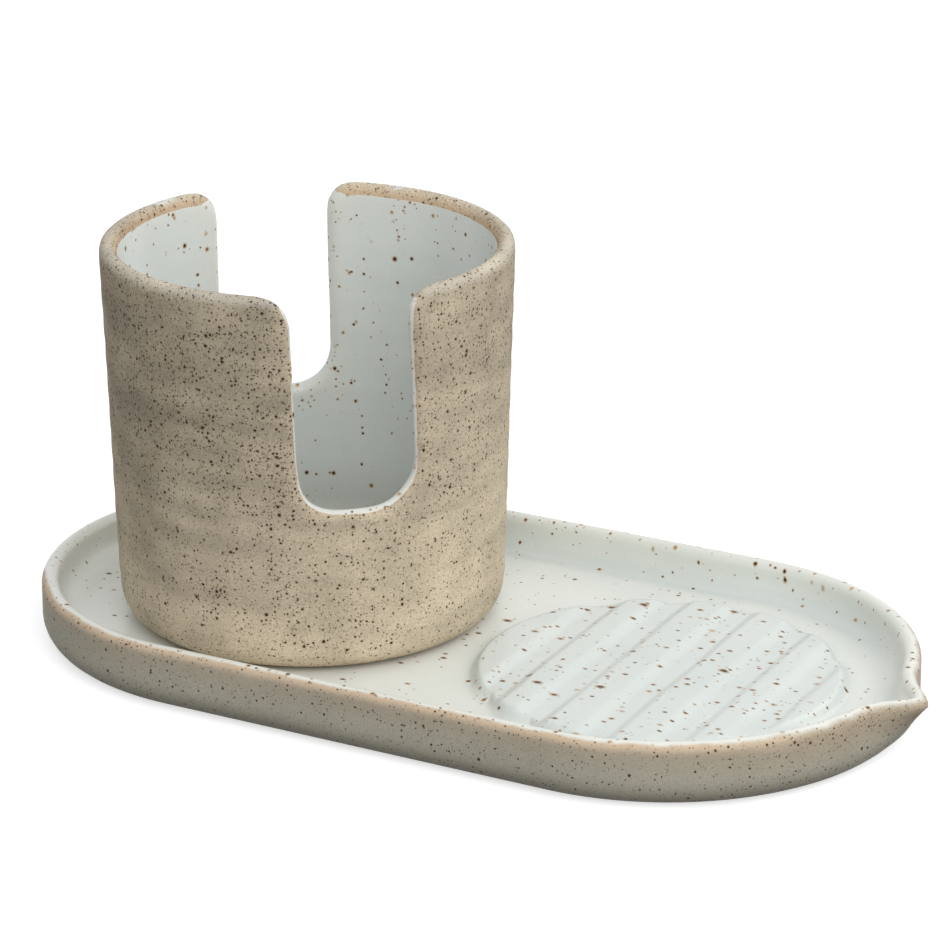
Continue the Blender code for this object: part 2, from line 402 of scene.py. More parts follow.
@dataclass(frozen=True)
class BareStoneware(IronBearing):
    """Unglazed buff stoneware, fired in reduction: a sandy matt body full of burnt iron.

    The eye gets a dry, even tan with small dark grit in rusty rings, faint clouds where fingers wetted the
    clay, and a toasted peach flush where the glaze's edge drew iron out.
    """

    halo: str = "#6E4A30"
    core: str = "#2E1D10"
    tinge: float = 0.25
    burn: float = 0.94
    layers: tuple[IronSpecks, ...] = (
        IronSpecks(cell=0.75 * MM, least=0.13 * MM, most=0.24 * MM, share=0.90, strength=0.90),
        IronSpecks(cell=1.15 * MM, least=0.22 * MM, most=0.40 * MM, share=0.95, spare=0.35, shift=0.31),
        IronSpecks(cell=2.30 * MM, least=0.34 * MM, most=0.60 * MM, share=0.85, spare=0.25, shift=0.77),
    )
    body: str = "#CEBFA6"
    cloud: str = "#9D927F"
    flush: str = "#CBA27C"
    cloud_size: float = 14 * MM
    smear_length: float = 30 * MM
    smear_height: float = 7 * MM
    sand_grain: float = 0.45 * MM

    def colour(self, recipe: Recipe, place: Feed, flush: Feed, patches: Feed) -> tuple[Feed, Feed]:
        """Adds the clay's colour.

        Args:
            recipe: The material's tree.
            place: Ruffled object coordinates.
            flush: From 0 to 1, how toasted the clay is there.
            patches: From 0 to 1, how crowded its specks are.

        Returns:
            The colour, and where its specks are.
        """
        clouds = recipe.add("TexNoise", {"Scale": 1 / self.cloud_size, "Detail": 3.0}, {"Vector": place})
        # Wet fingers left darker smears, long and low, as the wheel turned
        along, up = 1 / self.smear_length, 1 / self.smear_height
        drawn = recipe.add("Mapping", {"Scale": (along, along, up)}, {"Vector": place})
        smears = recipe.add("TexNoise", {"Scale": 1.0, "Detail": 3.0}, {"Vector": drawn})
        both = recipe.add("Math", {"operation": "ADD"}, {0: clouds, 1: smears})
        # Where the grit crowds, the clay between its grains is darker too, which under the tray's lip is
        # partly painted shade
        tone = recipe.add("Math", {"operation": "MULTIPLY_ADD", 1: -0.32}, {0: patches, 2: both})
        spread = recipe.add("MapRange", {"From Min": 0.40, "From Max": 1.15}, {"Value": tone})
        shades = {"data_type": "RGBA", BASE: linear(self.cloud), COAT: linear(self.body)}
        body = recipe.add("Mix", shades, {SHARE: spread})
        # Single sand grains are paler or darker than the body
        grains = recipe.add("TexNoise", {"Scale": 1 / self.sand_grain, "Detail": 2.0}, {"Vector": place})
        sand = recipe.add("MapRange", {"To Min": 0.50, "To Max": 1.50}, {"Value": grains})
        sanded = recipe.add("VectorMath", {"operation": "SCALE"}, {0: body, "Scale": sand})
        toasting = {"data_type": "RGBA", COAT: linear(self.flush)}
        toasted = recipe.add("Mix", toasting, {SHARE: flush, BASE: sanded})
        return self.speckle(recipe, place, patches, toasted)


@dataclass(frozen=True)
class WhiteGlaze(IronBearing):
    """White satin-gloss feldspar glaze over the same clay, dipped and fired with it.

    The eye gets a cool milky white that turns bluer where it lies thick and where it is painted as shade,
    warmer where it ran thin, soft wide reflections, and iron specks that bleed up through it as dark cores in
    ochre halos.
    """

    milk: str = "#E9EBE5"
    # Colour of thick glaze, also used as painted shade in the tray's far cove
    pooled_and_shaded: str = "#CDD4D1"
    thin: str = "#DEDACB"
    roughness: float = 0.30
    cloud_size: float = 22 * MM
    mottle_size: float = 0.5 * MM

    def colour(
        self, recipe: Recipe, place: Feed, pooled_and_shaded: Feed, thin: Feed, patches: Feed
    ) -> tuple[Feed, Feed]:
        """Adds the glaze's colour.

        Args:
            recipe: The material's tree.
            place: Ruffled object coordinates.
            pooled_and_shaded: From 0 to 1, how thick the glaze lies there, and in the tray's far cove how
                much painted shade it takes.
            thin: From 0 to 1, how thin it ran.
            patches: From 0 to 1, how crowded its specks are.

        Returns:
            The colour, and where its specks are.
        """
        clouds = recipe.add("TexNoise", {"Scale": 1 / self.cloud_size, "Detail": 2.0}, {"Vector": place})
        unevenly = {"operation": "MULTIPLY_ADD", 1: 0.5, "use_clamp": True}
        thick = recipe.add("Math", unevenly, {0: clouds, 2: pooled_and_shaded})
        shades = {"data_type": "RGBA", BASE: linear(self.milk), COAT: linear(self.pooled_and_shaded)}
        milk = recipe.add("Mix", shades, {SHARE: thick})
        over = {"data_type": "RGBA", COAT: linear(self.thin)}
        warm = recipe.add("Mix", over, {SHARE: thin, BASE: milk})
        # Bubbles and the clay's grain mottle the white by a few hundredths
        fine = recipe.add("TexNoise", {"Scale": 1 / self.mottle_size, "Detail": 2.0}, {"Vector": place})
        mottle = recipe.add("MapRange", {"To Min": 0.93, "To Max": 1.07}, {"Value": fine})
        mottled = recipe.add("VectorMath", {"operation": "SCALE"}, {0: warm, "Scale": mottle})
        return self.speckle(recipe, place, patches, mottled)


@dataclass(frozen=True)
class Finish:
    """A piece's whole surface: white glaze on one side of a wavy edge, and something drier on the other.

    Distances from the glaze's edge are in millimetres.
    """

    clay: BareStoneware = BareStoneware()
    glaze: WhiteGlaze = WhiteGlaze()
    dry_roughness: float = 0.82
    wave_length: float = 5.0 * MM
    wave_height: float = 0.30
    edge: Pair = (-0.12, 0.12)
    thin_tint: float = 0.35

    def outside(self, recipe: Recipe, place: Feed, patches: Feed, run: Feed) -> tuple[Feed, Feed]:
        """Adds the colour where the white glaze isn't.

        Args:
            recipe: The material's tree.
            place: Ruffled object coordinates.
            patches: From 0 to 1, how crowded the specks are there.
            run: Distance from the glaze's edge.

        Returns:
            The colour, and where its specks are.
        """
        raise NotImplementedError

    def mix(self, name: str, gloss: float) -> bpy.types.Material:
        """Writes the material.

        Args:
            name: The material's name.
            gloss: How strongly it mirrors, from 0 to 1, where 0.5 is a sealed surface of its index.

        Returns:
            The material.
        """
        material, recipe = new_material(name)
        place = ruffled_place(recipe)
        patches = patchiness(recipe, place)
        run = glaze_edge(recipe, place, self.wave_length, self.wave_height)
        start, end = self.edge
        fade = {"interpolation_type": "SMOOTHSTEP", "From Min": start, "From Max": end}
        glazed = recipe.add("MapRange", fade, {"Value": run})
        thin, pooled_and_shaded = (
            recipe.add("Attribute", {"attribute_name": mark.value}).outputs["Fac"]
            for mark in (Mark.THIN_GLAZE, Mark.POOLED_GLAZE_AND_SHADE)
        )
        tint = recipe.add("Math", {"operation": "MULTIPLY", 1: self.thin_tint}, {0: thin})
        dry, grit = self.outside(recipe, place, patches, run)
        white, iron = self.glaze.colour(recipe, place, pooled_and_shaded, tint, patches)
        colour = recipe.add("Mix", {"data_type": "RGBA"}, {SHARE: glazed, BASE: dry, COAT: white})
        self.seal(recipe, colour, glazed, (grit, iron), gloss)
        return material

    def seal(
        self, recipe: Recipe, colour: Feed, glazed: Feed, specks: tuple[Feed, Feed], gloss: float
    ) -> None:
        """Adds roughness, relief and the shader.

        Args:
            recipe: The material's tree.
            colour: The finished colour.
            glazed: 1 where the white glaze covers the clay.
            specks: Where the clay's specks are, and the glaze's.
            gloss: How strongly the surface mirrors.
        """
        grit, iron = specks
        wet = self.glaze.roughness
        place = recipe.add("TexCoord").outputs["Object"]
        breath = recipe.add("TexNoise", {"Scale": 1 / (9 * MM), "Detail": 2.0}, {"Vector": place})
        satin = recipe.add("MapRange", {"To Min": wet - 0.05, "To Max": wet + 0.07}, {"Value": breath})
        sheen = recipe.add("Mix", {BASE_NUMBER: self.dry_roughness}, {SHARE: glazed, COAT_NUMBER: satin})
        # Dry clay has a fine sandy tooth, and glaze swells like orange peel, 3 mm from crest to crest
        tooth = recipe.add("TexNoise", {"Scale": 1 / (0.7 * MM), "Detail": 3.0}, {"Vector": place})
        pitted = recipe.add("Math", {"operation": "MULTIPLY_ADD", 1: -0.8}, {0: grit, 2: tooth})
        peel = recipe.add("TexNoise", {"Scale": 1 / (3.0 * MM), "Detail": 1.0}, {"Vector": place})
        dimpled = recipe.add("Math", {"operation": "MULTIPLY_ADD", 1: -0.35}, {0: iron, 2: peel})
        relief = recipe.add("Mix", {}, {SHARE: glazed, BASE_NUMBER: pitted, COAT_NUMBER: dimpled})
        layered = recipe.add("Math", {"operation": "MULTIPLY_ADD", 1: 2.0}, {0: glazed, 2: relief})
        bump = recipe.add("Bump", {"Strength": 0.55, "Distance": 0.06 * MM}, {"Height": layered})
        shader = recipe.add(
            "BsdfPrincipled",
            {"IOR": 1.5, "Specular IOR Level": gloss},
            {"Base Color": colour, "Roughness": sheen, "Normal": bump},
        )
        recipe.add("OutputMaterial", links={"Surface": shader})


@dataclass(frozen=True)
class CupFinish(Finish):
    """The cup's whole surface: bare clay outside and over the rim, and glaze poured inside it."""

    glaze: WhiteGlaze = WhiteGlaze(
        milk="#D8DCD9",
        pooled_and_shaded="#CACCC5",
        layers=(
            IronSpecks(1.80 * MM, 0.18 * MM, 0.36 * MM, 0.55, 0.45, Mark.THIN_GLAZE, shift=0.13),
            IronSpecks(3.40 * MM, 0.38 * MM, 0.68 * MM, 0.75, 0.45, Mark.THIN_GLAZE, shift=0.53),
        ),
    )
    veil: str = "#D9D7D2"

    def outside(self, recipe: Recipe, place: Feed, patches: Feed, run: Feed) -> tuple[Feed, Feed]:
        """Adds bare clay, with a breath of glaze on the rim.

        Args:
            recipe: The material's tree.
            place: Ruffled object coordinates.
            patches: From 0 to 1, how crowded the specks are there.
            run: Distance from the glaze's edge.

        Returns:
            The colour, and where its specks are.
        """
        flush, breath = (
            recipe.add("Attribute", {"attribute_name": mark.value}).outputs["Fac"]
            for mark in (Mark.FLUSH, Mark.VEIL)
        )
        # The glaze draws a thin toasted line along its edge, and flushes the rim for some millimetres
        fade = {"interpolation_type": "SMOOTHSTEP", "From Min": -0.60, "From Max": -0.10}
        line_of_iron = recipe.add("MapRange", {**fade, "To Max": 0.3}, {"Value": run})
        toasted = recipe.add("Math", {"operation": "MAXIMUM"}, {0: line_of_iron, 1: flush})
        bare, grit = self.clay.colour(recipe, place, toasted, patches)
        # The veil on the rim's outer half pales the clay, but not its grit
        between = recipe.add("Math", {"operation": "MULTIPLY_ADD", 1: -0.8, 2: 1.0}, {0: grit})
        veiled = recipe.add("Math", {"operation": "MULTIPLY"}, {0: breath, 1: between})
        over = {"data_type": "RGBA", COAT: linear(self.veil)}
        return recipe.add("Mix", over, {SHARE: veiled, BASE: bare}), grit


@dataclass(frozen=True)
class TrayFinish(Finish):
    """The tray's whole surface: white glaze inside, a wiped bare band round the rim, a thin wash outside."""

    clay: BareStoneware = BareStoneware(
        flush="#CDB59A",
        layers=(
            IronSpecks(0.90 * MM, 0.13 * MM, 0.24 * MM, 0.80, shift=0.21, strength=0.9),
            IronSpecks(1.40 * MM, 0.23 * MM, 0.40 * MM, 0.75, shift=0.41),
            IronSpecks(2.60 * MM, 0.36 * MM, 0.60 * MM, 0.60, shift=0.87),
        ),
    )
    glaze: WhiteGlaze = WhiteGlaze(
        layers=(
            IronSpecks(2.10 * MM, 0.16 * MM, 0.36 * MM, 0.40, 0.4, None, (0.8, 1.0, 1.0), 0.13, 0.9),
            IronSpecks(1.80 * MM, 0.20 * MM, 0.36 * MM, 0.28, 0.0, Mark.THIN_GLAZE, (1.0, 1.0, 0.7), 0.29),
            IronSpecks(3.20 * MM, 0.36 * MM, 0.66 * MM, 0.50, 0.0, Mark.THIN_GLAZE, (1.0, 1.0, 0.7), 0.61),
            IronSpecks(1.70 * MM, 0.16 * MM, 0.28 * MM, 0.18, 0.0, Mark.REST_GLAZE, (0.75, 1.0, 1.0), 0.37),
            IronSpecks(2.90 * MM, 0.36 * MM, 0.58 * MM, 0.55, 0.06, Mark.REST_GLAZE, (0.70, 1.0, 1.0), 0.53),
            IronSpecks(5.20 * MM, 0.50 * MM, 0.90 * MM, 0.60, 0.03, Mark.REST_GLAZE, (0.65, 1.0, 1.0), 0.91),
        ),
    )
    dry_roughness: float = 0.62
    wave_length: float = 9 * MM
    wave_height: float = 0.9
    edge: Pair = (1.0, -0.25)
    thin_tint: float = 0.30
    wash: str = "#ADAA9B"
    warm_wash: str = "#B59C86"
    wash_cover: float = 0.80
    wash_grain: float = 0.42 * MM
    band_end: Pair = (0.8, 3.8)
    wash_end: Pair = (19.0, 18.0)

    def outside(self, recipe: Recipe, place: Feed, patches: Feed, run: Feed) -> tuple[Feed, Feed]:
        """Adds the bare band round the rim, the wash on the wall, and bare clay again under it.

        Args:
            recipe: The material's tree.
            place: Ruffled object coordinates.
            patches: From 0 to 1, how crowded the specks are there.
            run: Distance from the glaze's edge.

        Returns:
            The colour, and where its specks are.
        """
        past_band, over_foot = (
            recipe.add(
                "MapRange",
                {"interpolation_type": "SMOOTHSTEP", "From Min": start, "From Max": end},
                {"Value": run},
            )
            for start, end in (self.band_end, self.wash_end)
        )
        washed = recipe.add("Math", {"operation": "MULTIPLY"}, {0: past_band, 1: over_foot})
        cover = recipe.add("Math", {"operation": "MULTIPLY", 1: self.wash_cover}, {0: washed})
        in_band = {"From Min": 1.0, "From Max": 0.0, "To Max": 0.9}
        band = recipe.add("MapRange", in_band, {"Value": past_band})
        flush = recipe.add("Attribute", {"attribute_name": Mark.FLUSH.value}).outputs["Fac"]
        toasted = recipe.add("Math", {"operation": "MULTIPLY"}, {0: band, 1: flush})
        bare, grit = self.clay.colour(recipe, place, toasted, patches)
        # The wash is thin enough for the clay's grit to show through it
        between = recipe.add("Math", {"operation": "SUBTRACT", 0: 1.0}, {1: grit})
        veiled = recipe.add("Math", {"operation": "MULTIPLY"}, {0: cover, 1: between})
        fine = recipe.add("TexNoise", {"Scale": 1 / self.wash_grain, "Detail": 2.0}, {"Vector": place})
        grain = recipe.add("MapRange", {"To Min": 0.60, "To Max": 1.40}, {"Value": fine})
        sandy = recipe.add("VectorMath", {"operation": "SCALE", 0: linear(self.wash)[:3]}, {"Scale": grain})
        # It stays warm for some millimetres under the bare band
        warmed = recipe.add("MapRange", {"From Min": 8.0, "From Max": 2.0, "To Max": 0.5}, {"Value": run})
        warmth = {"data_type": "RGBA", COAT: linear(self.warm_wash)}
        wash = recipe.add("Mix", warmth, {SHARE: warmed, BASE: sandy})
        return recipe.add("Mix", {"data_type": "RGBA"}, {SHARE: veiled, BASE: bare, COAT: wash}), grit


def paint(piece: bpy.types.Object, finish: Finish, glazed: np.ndarray) -> None:
    """Gives a piece its finish twice: sealed where the white glaze is, and dry elsewhere.

    Args:
        piece: The piece to paint.
        finish: What it is painted with.
        glazed: For each vertex, whether it is under the white glaze.
    """
    dry_gloss, sealed_gloss = 0.2, 0.5
    piece.data.materials.append(finish.mix(piece.name + "_dry", dry_gloss))
    piece.data.materials.append(finish.mix(piece.name + "_sealed", sealed_gloss))
    slots = [int(glazed[list(face.vertices)].mean() > 0.5) for face in piece.data.polygons]
    piece.data.polygons.foreach_set("material_index", slots)


def patchiness(recipe: Recipe, place: Feed) -> Feed:
    """Adds how the specks crowd: as the piece's mark says, give or take soft patches of 26 mm. Under the
    tray's lip the crowding also darkens the clay as painted shade.

    Args:
        recipe: The material's tree.
        place: Ruffled object coordinates.

    Returns:
        How crowded they are, from 0 to 1.
    """
    crowded = recipe.add("Attribute", {"attribute_name": Mark.CROWDED_AND_SHADED.value}).outputs["Fac"]
    patches = recipe.add("TexNoise", {"Scale": 1 / (26 * MM), "Detail": 1.0}, {"Vector": place})
    spread = {"From Min": 0.35, "From Max": 0.65, "To Min": -0.25, "To Max": 0.25}
    swing = recipe.add("MapRange", spread, {"Value": patches})
    return recipe.add("Math", {"operation": "ADD", "use_clamp": True}, {0: crowded, 1: swing})


def ruffled_place(recipe: Recipe) -> Feed:
    """Adds object coordinates shifted by up to 0.1 mm of fine noise, which roughens every outline.

    Args:
        recipe: The material's tree.

    Returns:
        The coordinates.
    """
    place = recipe.add("TexCoord").outputs["Object"]
    fine = recipe.add("TexNoise", {"Scale": 1 / (0.6 * MM), "Detail": 1.0}, {"Vector": place})
    centre = {"operation": "SUBTRACT", 1: (0.5, 0.5, 0.5)}
    centred = recipe.add("VectorMath", centre, {0: fine.outputs["Color"]})
    small = recipe.add("VectorMath", {"operation": "SCALE", "Scale": 0.35 * MM}, {0: centred})
    return recipe.add("VectorMath", {"operation": "ADD"}, {0: place, 1: small})


def glaze_edge(recipe: Recipe, place: Feed, grain: float, reach: float) -> Feed:
    """Adds the distance to the glaze's edge in millimetres, made wavy as a wiped edge is.

    Args:
        recipe: The material's tree.
        place: Ruffled object coordinates.
        grain: Length of the waves in metres.
        reach: Their height in millimetres.

    Returns:
        The distance, on the same side of 0 as the vertex attribute.
    """
    run = recipe.add("Attribute", {"attribute_name": Mark.GLAZE_RUN.value}).outputs["Fac"]
    waves = recipe.add("TexNoise", {"Scale": 1 / grain, "Detail": 3.0}, {"Vector": place})
    swing = recipe.add("MapRange", {"To Min": -reach, "To Max": reach}, {"Value": waves})
    return recipe.add("Math", {"operation": "ADD"}, {0: run, 1: swing})


@dataclass(frozen=True)
class SlotCut:
    """How a slot that was cut by eye strays from its drawn place.

    Facing is in degrees from the near slot's middle. It lies aside towards greater turns at its middle
    height, and leans by some metres aside for each metre down. It strays in full from its steady height over
    the slot's bottom upwards, and fades out below that.
    """

    facing: float
    aside: float
    lean: float
    steady: float
    fade: float


@dataclass
class SpongeCup:
    """The cup: thrown, trimmed, slotted twice from the rim and left bare outside.

    The glaze's sizes are in millimetres, and so is the reach of a spill, which follows its bearing in
    degrees from the near slot's middle.
    """

    axis: Vector = field(default_factory=lambda: Vector((-0.0553, 0.0, 0.0)))
    foot: float = 0.0083
    height: float = 0.1086
    rim_radius: float = 0.0575
    foot_radius: float = 0.0539
    wall: float = 0.0050
    slot_turn: float = math.radians(-46)
    slot_half: float = 0.0160
    slot_depth: float = 0.0606
    slot_mouth: float = 0.0080
    cuts: tuple[SlotCut, ...] = (
        SlotCut(facing=0.0, aside=0.12 * MM, lean=0.043, steady=11 * MM, fade=10 * MM),
        SlotCut(facing=180.0, aside=-1.48 * MM, lean=0.0, steady=0.0, fade=14 * MM),
    )
    ring_pitch: float = 0.0086
    ring_depth: float = 0.00024
    bare_edge: float = 0.9
    bare_rim: float = 3.2
    bare_foot: float = 4.3
    spills: tuple[Pair, ...] = ((215.5, 6.5), (139.0, 4.0))
    crowd_turn: float = math.radians(-48)
    finish: Finish = CupFinish()
    piece: bpy.types.Object = field(init=False)
    glazed: np.ndarray = field(init=False)

    def build(self) -> bpy.types.Object:
        """Makes the whole cup, on its body and in its finish.

        Returns:
            The cup.
        """
        self.take_blank()
        self.even_out()
        self.mark_glaze()
        self.mark_rim()
        self.leave_finger_marks()
        self.dress()
        return self.piece

    def take_blank(self) -> None:
        """Copies the frame's cup and welds its loose triangles back into four-sided faces."""
        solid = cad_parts[Node.CUP.value]
        self.piece = bpy.data.objects.new("thrown_cup", solid.data.copy())
        bpy.context.scene.collection.objects.link(self.piece)
        self.piece.data.materials.clear()
        with editing(self.piece):
            bpy.ops.mesh.select_all(action="SELECT")
            bpy.ops.mesh.remove_doubles(threshold=WELD)
            bpy.ops.mesh.tris_convert_to_quads(face_threshold=math.pi, shape_threshold=math.pi)

    def even_out(self) -> None:
        """Rounds the facets off: more rows up the long wall faces, then two subdivisions and an even net."""
        long_edge, upright, rows, net = 6 * MM, 0.8, 7, 1.08 * MM

        def runs_up_the_wall(edge: bmesh.types.BMEdge) -> bool:
            """Tells whether an edge is one of the wall's long upright ones."""
            length = edge.calc_length()
            return length > long_edge and abs(edge.verts[0].co.z - edge.verts[1].co.z) > upright * length

        with editing(self.piece):
            pick(self.piece, Part.EDGE, runs_up_the_wall)
            bpy.ops.mesh.subdivide(number_cuts=rows)
        apply_modifier(self.piece, "SUBSURF", {"levels": 2, "render_levels": 2})
        apply_modifier(self.piece, "REMESH", {"mode": "VOXEL", "voxel_size": net})
        hold(self.piece)
        bpy.ops.object.shade_smooth()

    def measure(self, points: np.ndarray) -> tuple[np.ndarray, np.ndarray, np.ndarray, np.ndarray]:
        """Measures points round the cup's axis.

        Args:
            points: Places, one row each.

        Returns:
            Radius, turn from the near slot's middle, height over the foot, and depth behind the outer face.
        """
        x = points[:, 0] - self.axis.x
        y = points[:, 1] - self.axis.y
        radius = np.hypot(x, y)
        turn = np.arctan2(y, x) - self.slot_turn
        level = points[:, 2] - self.foot
        outer = self.foot_radius + (self.rim_radius - self.foot_radius) * level / self.height
        return radius, turn, level, outer - radius

    def measure_edges(self, points: np.ndarray) -> tuple[np.ndarray, np.ndarray]:
        """Measures points from the slots and from the lower edge of the bare rim.

        The bare rim runs on round the slots' mouth corners and narrows to nothing there.

        Args:
            points: Places, one row each.

        Returns:
            Distance from the nearest slot, and how far under the bare rim's edge, both in millimetres.
        """
        narrowing = (52.0, 25.0)
        radius, turn, level, _ = self.measure(points)
        beside = np.abs(radius * np.sin(turn)) - self.slot_half
        above = level - (self.height - self.slot_depth)
        slot_gap = np.hypot(np.maximum(beside, 0.0), np.maximum(-above, 0.0)) / MM
        down = (self.height - level) / MM
        mouth = self.slot_mouth / MM
        past_corner = mouth - beside / MM
        over_corner = mouth - down
        cornered = (past_corner > 0.0) & (over_corner > 0.0)
        below = np.where(cornered, mouth - np.hypot(past_corner, over_corner), down)
        rounded = np.where(cornered, np.degrees(np.arctan2(past_corner, over_corner)), 0.0)
        return slot_gap, below - self.bare_rim * smooth_step(rounded, *narrowing)

    def mark_glaze(self) -> None:
        """Marks how far in millimetres each point lies inside the glaze's edge, and how thick the glaze is.

        The glaze starts on the slots' rolled edges, close behind the outer face, and a little under the rim.
        """
        never = -10.0
        points = read_points(self.piece)
        _, _, level, depth = self.measure(points)
        slot_gap, under_rim = self.measure_edges(points)
        roll, behind = self.wall / 2 / MM, depth / MM
        past_roll = np.where(behind < roll, np.maximum(slot_gap - roll, 0.0), 0.0)
        past_slot = behind - self.bare_edge - past_roll
        over_foot = np.where(level > self.bare_foot * MM, level / MM - self.bare_foot, never)
        run = np.minimum(np.minimum(past_slot, under_rim), over_foot)
        write_mark(self.piece, Mark.GLAZE_RUN, run)
        self.glazed = run > 0.0
        thin = bell(slot_gap, 5.0) + 0.6 * bell(under_rim, 7.0)
        write_mark(self.piece, Mark.THIN_GLAZE, np.clip(thin, 0.0, 1.0))
        write_mark(self.piece, Mark.POOLED_GLAZE_AND_SHADE, smooth_step(level, 30 * MM, 6 * MM))

    def mark_rim(self) -> None:
        """Marks the rim's peach flush and veil of glaze, and where the grit crowds on the wall."""
        flushed, veiled, smeared = 0.42, 0.25, 0.85
        points = read_points(self.piece)
        _, turn, level, depth = self.measure(points)
        _, under_rim = self.measure_edges(points)
        behind = depth / MM
        flush = smooth_step(under_rim, -3.4, -0.4) * smooth_step(behind, 2.6, 4.6)
        write_mark(self.piece, Mark.FLUSH, flushed * flush)
        # The rim's outer half is veiled, and glaze was smeared on it once on either side
        on_rim = smooth_step(level, self.height - 3.5 * MM, self.height - 1.2 * MM)
        veil = veiled * on_rim * smooth_step(behind, 4.2, 2.6)
        for bearing, reach in self.spills:
            off = (turn - math.radians(bearing) + np.pi) % (2 * np.pi) - np.pi
            away = np.abs(off) * self.rim_radius / MM
            smear = 1.0 - (away / reach) ** 2 - 0.5 * np.abs(behind - 2.5)
            veil = np.maximum(veil, smeared * on_rim * smooth_step(smear, -0.1, 0.4))
        write_mark(self.piece, Mark.VEIL, veil)
        # The grit crowds on the upper part of one side
        beyond = 0.5 + 0.5 * np.cos(turn - self.crowd_turn)
        crowd = smooth_step(level, 36 * MM, 62 * MM) * (0.2 + 0.8 * beyond**3)
        write_mark(self.piece, Mark.CROWDED_AND_SHADED, 0.1 + 0.9 * crowd)

    def leave_finger_marks(self) -> None:
        """Moves the surface as hands did: spiral throwing rings, an uneven rim and slots cut by eye."""
        points = read_points(self.piece)
        radius, turn, level, depth = self.measure(points)
        share = level / self.height
        swing = waver(points, 24 * MM, 3.1)
        spiral = np.cos(2 * np.pi * level / self.ring_pitch + turn + 1.6 * swing)
        patches = 0.55 + 0.45 * waver(points, 30 * MM, 8.7)
        body = smooth_step(level, 4 * MM, 14 * MM)
        body *= smooth_step(level, self.height - 4 * MM, self.height - 16 * MM)
        # Inside, the rings were smoothed over, and the wall swells with its outer face
        outside = 1 - 0.6 * smooth_step(depth, 1 * MM, 4 * MM)
        ring = 0.5 * self.ring_depth * patches * spiral * body * outside
        swell = 0.15 * MM * waver(points, 45 * MM, 5.3) * body
        radius = radius - ring - swell
        bottom = self.height - self.slot_depth
        for cut in self.cuts:
            off = (turn - math.radians(cut.facing) + np.pi) % (2 * np.pi) - np.pi
            beside = np.maximum(np.abs(off) * radius - self.slot_half, 0.0)
            strays = cut.aside + cut.lean * (bottom + self.slot_depth / 2 - level)
            strays *= bell(beside, 14 * MM)
            strays *= smooth_step(level, bottom + cut.steady - cut.fade, bottom + cut.steady)
            turn = turn + strays / radius
        # Rounding the facets off took 0.18 mm from the rim, and most of it is given back, unevenly
        lift = 0.12 * MM * (1 + 0.5 * waver(points * (1, 1, 0), 20 * MM, 1.9))
        level = level + lift * smooth_step(share, 0.8, 1.0)
        x = self.axis.x + radius * np.cos(turn + self.slot_turn)
        y = self.axis.y + radius * np.sin(turn + self.slot_turn)
        move_points(self.piece, np.stack((x, y, level + self.foot), axis=1))

    def dress(self) -> None:
        """Puts the finish on and tells the frame what the piece is."""
        paint(self.piece, self.finish, self.glazed)
        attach(self.piece, Body.CUP.value)
        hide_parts(Node.CUP.value)


